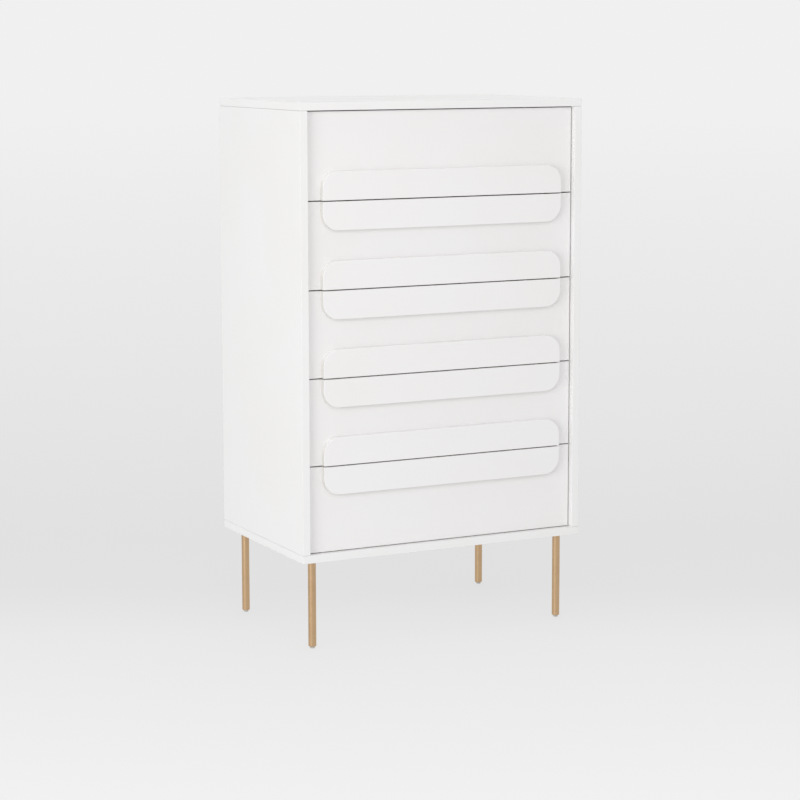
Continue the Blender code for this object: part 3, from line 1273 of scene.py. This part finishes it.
@dataclass
class DrawerBox:
    """The plywood box behind one front, with the cams and screws that hold it together."""

    number: int
    edge: float = 0.0010
    gap: float = 0.0003
    cam_radius: float = 0.0075
    cam_setback: float = 0.034
    cam_proud: float = 0.0003
    cam_depth: float = 0.0010
    cam_edge: float = 0.0004
    cam_rim: float = 0.4
    cam_recess: float = 0.62
    cam_recess_floor: float = 0.7
    cam_steps: int = 36
    cam_shares: Pair = (0.30, 0.78)
    screw_shares: Pair = (0.12, 0.88)

    def build(self) -> None:
        """Build the sides, the back, the bottom and the fasteners."""
        name = f"drawer_{self.number}"
        base = Box.of(f"{name}_bottom")
        groove = base.grown(self.gap)
        groove.low.y -= CUT_OVER
        groove.high.y += CUT_OVER
        for side in Side:
            node = f"{name}_{side.word}_side"
            board = Box.of(node)
            made = Solid().block(board.low, board.high).cut(Solid().block(groove.low, groove.high))
            made.ease(self.edge).plied(Axis.X).piece(f"{node}_finished", BIRCH_SIDES, name, node)
        board = Box.of(f"{name}_back")
        made = Solid().block(board.low, board.high).ease(self.edge).plied(Axis.Y)
        made.piece(f"{name}_back_finished", BIRCH_BACKS, name, f"{name}_back")
        made = Solid().block(base.low, base.high).ease(self.gap, segments=1).plied(Axis.Z)
        made.piece(f"{name}_bottom_finished", BIRCH_BASES, name, f"{name}_bottom")
        self.build_cams(name)
        SMALL_SCREW.heads(self.back_screws(name)).piece(f"{name}_box_screws", STEEL, name)

    def build_cams(self, name: str) -> None:
        """Build the cams that draw the sides against the front.

        Args:
            name: The drawer's name.
        """
        cam = self.cam()
        made = Solid()
        for side in Side:
            board = Box.of(f"{name}_{side.word}_side")
            face = board.end(Axis.X, -side.value)
            for share in self.cam_shares:
                seat = Vector((face, board.low.y + self.cam_setback, board.low.z + share * board.size.z))
                turn = Matrix.Rotation(math.radians(-90 * side.value), 4, "Y")
                made.stamp(cam, Matrix.Translation(seat) @ turn)
        cam.shape.free()
        made.piece(f"{name}_cams", STEEL, name)

    def cam(self) -> Solid:
        """Make one cam.

        Returns:
            The cam, which points along +Z with the board's surface at the origin.
        """
        rim, floor, top = self.cam_radius, -self.cam_depth, self.cam_proud
        profile = [(0.0, floor), (rim, floor), (rim, self.cam_rim * top)]
        profile += [(rim - self.cam_edge, top), (0.0, top)]
        recess = cross(rim * self.cam_recess)
        recess = Solid().prism(recess, Axis.Z, self.cam_recess_floor * floor, MILLIMETRE)
        return Solid().turned(profile, self.cam_steps).cut(recess)

    def back_screws(self, name: str) -> list[Seat]:
        """Place the screws that go through the sides into the back.

        Args:
            name: The drawer's name.

        Returns:
            Each screw's seat and direction.
        """
        back = Box.of(f"{name}_back")
        places = []
        for side in Side:
            board = Box.of(f"{name}_{side.word}_side")
            face = board.end(Axis.X, side.value)
            for share in self.screw_shares:
                seat = Vector((face, back.middle.y, board.low.z + share * board.size.z))
                places.append((seat, Vector((side.value, 0.0, 0.0))))
        return places


@dataclass(frozen=True)
class SlideProfile:
    """The cross-section of a rolled slide member."""

    steel: float = 0.0012
    bend: float = 0.0026
    rib: float = 0.0008
    rib_half: float = 0.0075
    rib_slope: float = 0.0016

    def outline(self, depth: float, height: float) -> list[Point]:
        """Give the cross-section, with the web at zero and the flanges along +X.

        Args:
            depth: How far the flanges reach.
            height: The member's height.

        Returns:
            The points, as depth and height.
        """
        half, tip = height / 2, self.steel / 2
        foot, slope = self.rib_half, self.rib_half + self.rib_slope
        lower = arc((self.bend, -half + self.bend), self.bend, 180, 270, 5)
        lower += arc((depth - tip, -half + tip), tip, -90, 90, 4)
        lower += arc((self.bend, -half + self.bend), self.bend - self.steel, 270, 180, 4)
        upper = [(x, -z) for x, z in reversed(lower)]
        outside = [(0.0, slope), (self.rib, foot), (self.rib, -foot), (0.0, -slope)]
        inside = [(x + self.steel, z) for x, z in reversed(outside)]
        return lower + inside + upper + outside


@dataclass
class Slides:
    """One drawer's slides: outer members on the case, inner members on the box, and the balls between."""

    number: int
    profile: SlideProfile = SlideProfile()
    slot_half: float = 0.0030
    slot_length: float = 0.012
    slot_cut: float = 0.002
    screw_shares: tuple[float, ...] = (0.09, 0.46, 0.90)
    slot_shares: tuple[float, ...] = (0.20, 0.34, 0.60, 0.75)
    ball_radius: float = 0.00075
    ball_count: int = 11
    cage_start: float = 0.004
    cage_length: float = 0.086
    cage_half: float = 0.0018
    cage_thickness: float = 0.0004

    def build(self, cages: Solid) -> None:
        """Build the members and their screws.

        Args:
            cages: The solid that the ball cages are added to.
        """
        name = f"drawer_{self.number}"
        inner_screws, outer_screws = [], []
        for side in Side:
            inner, outer = f"{name}_{side.word}_inner_slide", f"{name}_{side.word}_outer_slide"
            self.build_member(inner, side.value, name)
            self.build_member(outer, -side.value, "case")
            inner_screws += self.screws(Box.of(inner), side.value)
            outer_screws += self.screws(Box.of(outer), -side.value)
            self.add_cage(cages, Box.of(inner), Box.of(outer))
        PAN_SCREW.heads(inner_screws).piece(f"{name}_slide_screws", STEEL, name)
        PAN_SCREW.heads(outer_screws).piece(f"{name}_case_slide_screws", STEEL, "case")

    def build_member(self, node: str, way: int, body: str) -> None:
        """Build one member.

        Args:
            node: The node that it stands for.
            way: The sign of the direction that its flanges point in.
            body: The body that it moves with.
        """
        space = Box.of(node)
        web = space.end(Axis.X, -way)
        outline = [
            (web + way * depth, space.middle.z + height)
            for depth, height in self.profile.outline(space.size.x, space.size.z)
        ]
        member = Solid().prism(outline, Axis.Y, space.low.y, space.high.y)
        slots, far = Solid(), self.slot_cut if way < 0 else 2 * self.slot_cut
        for share in self.slot_shares:
            middle = space.low.y + share * space.size.y
            reach = self.slot_length / 2 - self.slot_half
            slot = arc((middle + reach, space.middle.z), self.slot_half, -90, 90, 8)
            slot += arc((middle - reach, space.middle.z), self.slot_half, 90, 270, 8)
            slots.prism(slot, Axis.X, web - self.slot_cut, web + far)
        member.cut(slots)
        member.piece(f"{node}_finished", STEEL, body, node)

    def screws(self, space: Box, way: int) -> list[Seat]:
        """Place a member's screws on its rib.

        Args:
            space: The member's space.
            way: The sign of the direction that they point in.

        Returns:
            Each screw's seat and direction.
        """
        web = space.end(Axis.X, -way)
        seat_x = web + way * (self.profile.steel + self.profile.rib)
        return [
            (Vector((seat_x, space.low.y + share * space.size.y, space.middle.z)), Vector((way, 0.0, 0.0)))
            for share in self.screw_shares
        ]

    def add_cage(self, cages: Solid, inner: Box, outer: Box) -> None:
        """Add the balls and the strips that space them.

        Args:
            cages: The solid that they are added to.
            inner: The inner member's space.
            outer: The outer member's space.
        """
        track = (inner.middle.x + outer.middle.x) / 2
        start = outer.low.y + self.cage_start
        for way in (-1, 1):
            level = inner.middle.z + way * (inner.size.z + outer.size.z - 2 * self.profile.steel) / 4
            half = Vector((self.cage_half, 0.0, self.cage_thickness / 2))
            middle = Vector((track, 0.0, level))
            low, high = middle - half, middle + half
            low.y, high.y = start, start + self.cage_length
            cages.block(low, high)
            for number in range(self.ball_count):
                along = start + self.cage_length * (number + 0.5) / self.ball_count
                cages.ball((track, along, level), self.ball_radius)


# ---------------------------------------------------------------------------------------------------- studio


@dataclass(frozen=True)
class SoftBox:
    """A large soft light."""

    name: str
    azimuth: float
    elevation: float
    power: float
    size: float = 2.5
    distance: float = 4.5
    aim_height: float = 0.7
    in_gloss: bool = True

    def build(self) -> None:
        """Hang the light and turn it to the chest."""
        turn, tilt = math.radians(self.azimuth), math.radians(self.elevation)
        toward = Vector((math.sin(turn) * math.cos(tilt), -math.cos(turn) * math.cos(tilt), math.sin(tilt)))
        light = bpy.data.lights.new(self.name, "AREA")
        light.shape = "DISK"
        light.size = self.size
        light.energy = self.power
        lamp = put(self.name, light)
        lamp.location = Vector((0.0, 0.0, self.aim_height)) + self.distance * toward
        lamp.rotation_mode = "QUATERNION"
        lamp.rotation_quaternion = toward.to_track_quat("Z", "Y")
        lamp.visible_camera = False
        lamp.visible_glossy = self.in_gloss


@dataclass
class Studio:
    """The pale floor, the soft lights and the camera."""

    floor_radius: float = 60.0
    floor_steps: int = 128
    paper: float = 0.85
    nearest: float = 0.5
    camera_place: Triple = (-2.4425, -4.8417, 1.3585)
    yaw: float = 26.7805
    pitch: float = 8.0347
    roll: float = -0.1063
    lens: float = 104.757
    drop: float = -0.04
    sight: float = 200.0
    sky: float = 0.64
    floor_light: float = 0.78
    shadow_share: float = 0.10
    shadow_fade: Pair = (1.5, 5.0)
    tone_fade: Pair = (7.0, 45.0)
    backdrop: float = 0.872
    lights: tuple[SoftBox, ...] = (
        SoftBox("key_light", azimuth=-60.0, elevation=6.0, power=61.0),
        SoftBox("front_light", azimuth=-18.0, elevation=24.0, power=27.0),
        SoftBox("top_light", azimuth=-20.0, elevation=85.0, power=32.0),
        SoftBox("rear_light", azimuth=150.0, elevation=20.0, power=30.0, in_gloss=False),
    )
    # Painted brightness of the floor's glow, by the steepness of the line of sight
    painted_floor_glow_stops: tuple[Pair, ...] = (
        (0.0, 0.876), (0.216, 0.753), (0.239, 0.760), (0.261, 0.815), (0.287, 0.842), (0.332, 0.880),
    )

    def build(self) -> None:
        """Build the whole studio."""
        self.build_floor()
        self.build_world()
        for light in self.lights:
            light.build()
        self.build_camera()
        bpy.context.scene.view_settings.view_transform = "Standard"

    def build_floor(self) -> None:
        """Lay a wide round floor."""
        disk, steps = Solid(), self.floor_steps
        bmesh.ops.create_circle(disk.shape, cap_ends=True, segments=steps, radius=self.floor_radius)
        floor = put("studio_floor", disk.mesh("studio_floor"))
        disk.shape.free()
        material = bpy.data.materials.new("studio_floor_paper")
        material.use_nodes = True
        self.paint_floor(Tree(material.node_tree))
        floor.data.materials.append(material)

    def paint_floor(self, tree: Tree) -> None:
        """Make the floor glow: evenly, as a lamp, for the chest, and to the camera with a painted brightness
        that falls and rises again with distance, plus a soft shadow.

        Args:
            tree: The floor material's tree.
        """
        heading = (math.sin(math.radians(self.yaw)), math.cos(math.radians(self.yaw)), 0.0)
        along = {0: tree.place(), 1: heading}
        away = tree.add("ShaderNodeVectorMath", {"operation": "DOT_PRODUCT"}, along, "Value")
        distance = (away - Vector(self.camera_place).dot(Vector(heading))).largest(self.nearest)
        steepness = self.camera_place[2] / distance
        stops = [(place, (tone,) * 3) for place, tone in self.painted_floor_glow_stops]
        # Painted glow: the floor's brightness to the camera is painted, falling and rising with distance
        tone = tree.add("ShaderNodeValToRGB", {"stops": stops}, {"Fac": steepness}, "Color")
        reach = tree.add("ShaderNodeVectorMath", {"operation": "LENGTH"}, {0: tree.place()}, "Value")
        tone = tree.mix(reach.ramp(*self.tone_fade), tone, (self.backdrop,) * 3)
        shadow = (1.0 - reach.ramp(*self.shadow_fade)) * self.shadow_share
        shown = tree.add("ShaderNodeEmission", {}, {"Color": tone, "Strength": 1.0})
        paper = tree.add("ShaderNodeBsdfDiffuse", {}, {"Color": (self.paper,) * 3})
        shown = tree.add("ShaderNodeMixShader", {}, {0: shadow, 1: shown, 2: paper})
        light = tree.add("ShaderNodeEmission", {}, {"Color": WHITE, "Strength": self.floor_light})
        seen = tree.add("ShaderNodeLightPath", output="Is Camera Ray")
        above = tree.add("ShaderNodeMixShader", {}, {0: seen, 1: light, 2: shown})
        under = tree.add("ShaderNodeNewGeometry", output="Backfacing")
        clear = tree.add("ShaderNodeBsdfTransparent")
        surface = tree.add("ShaderNodeMixShader", {}, {0: under, 1: above, 2: clear})
        tree.add("ShaderNodeOutputMaterial", {}, {"Surface": surface})

    def build_world(self) -> None:
        """Light the studio evenly from all round, with a plain backdrop behind."""
        world = bpy.data.worlds.new("studio_world")
        world.use_nodes = True
        bpy.context.scene.world = world
        tree = Tree(world.node_tree)
        seen = tree.add("ShaderNodeLightPath", output="Is Camera Ray")
        seen = seen.largest(tree.add("ShaderNodeLightPath", output="Is Glossy Ray"))
        light = tree.add("ShaderNodeBackground", {}, {"Color": WHITE, "Strength": self.sky})
        backdrop = tree.add("ShaderNodeBackground", {}, {"Color": WHITE, "Strength": self.backdrop})
        surface = tree.add("ShaderNodeMixShader", {}, {0: seen, 1: light, 2: backdrop})
        tree.add("ShaderNodeOutputWorld", {}, {"Surface": surface})

    def build_camera(self) -> None:
        """Stand the camera in front of the chest's left corner, a little above its top."""
        data = bpy.data.cameras.new("camera")
        data.lens = self.lens
        data.shift_y = self.drop
        data.clip_end = self.sight
        camera = put("camera", data)
        turn = Matrix.Rotation(math.radians(-self.yaw), 4, "Z")
        tilt = Matrix.Rotation(math.radians(90 - self.pitch), 4, "X")
        lean = Matrix.Rotation(math.radians(self.roll), 4, "Z")
        camera.matrix_world = Matrix.Translation(self.camera_place) @ turn @ tilt @ lean
        bpy.context.scene.camera = camera


def main() -> None:
    """Build the chest and its studio in order."""
    logging.basicConfig(level=logging.INFO, format="%(message)s")
    Case().build()
    Legs().build()
    cages = Solid()
    for number in DRAWERS:
        DrawerFront(number).build()
        DrawerBox(number).build()
        Slides(number).build(cages)
    cages.piece("slide_ball_cages", STEEL, "case")
    Studio().build()


if __name__ == "__main__":
    main()
